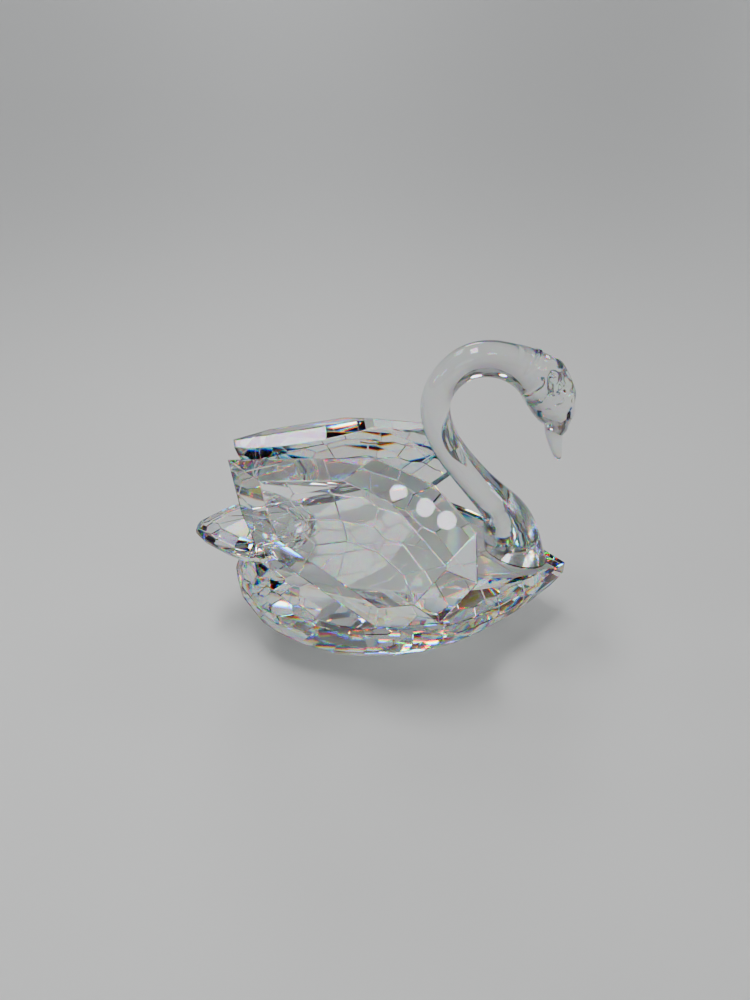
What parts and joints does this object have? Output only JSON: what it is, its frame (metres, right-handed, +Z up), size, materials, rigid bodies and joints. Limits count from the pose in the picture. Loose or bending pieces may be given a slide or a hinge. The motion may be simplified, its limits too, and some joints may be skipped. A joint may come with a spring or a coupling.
{
  "type": "crystal swan figurine",
  "caption": "Clear faceted crystal swan with two leaf-shaped wings and a pointed tail bonded to a pear-shaped hull, and a smooth moulded neck and head curving forward.",
  "frame": {"origin": "centre of the bounding box at the level of the foot, where the hull rests", "axes": "+X toward the breast, where the head looks; +Z up; +Y toward the left wing"},
  "size_m": [0.0751, 0.0494, 0.0629],
  "materials": {
    "cut_crystal": "cut and polished",
    "moulded_crystal": "fire-polished",
    "clear_adhesive": "cured clear film"
  },
  "bodies": {
    "root": {"hull": "cut_crystal", "right_wing": "cut_crystal", "left_wing": "cut_crystal", "tail": "cut_crystal", "neck_and_head": "moulded_crystal", "neck_bond": "clear_adhesive", "right_wing_bond": "clear_adhesive", "left_wing_bond": "clear_adhesive", "tail_bond": "clear_adhesive"}
  },
  "joints": []
}
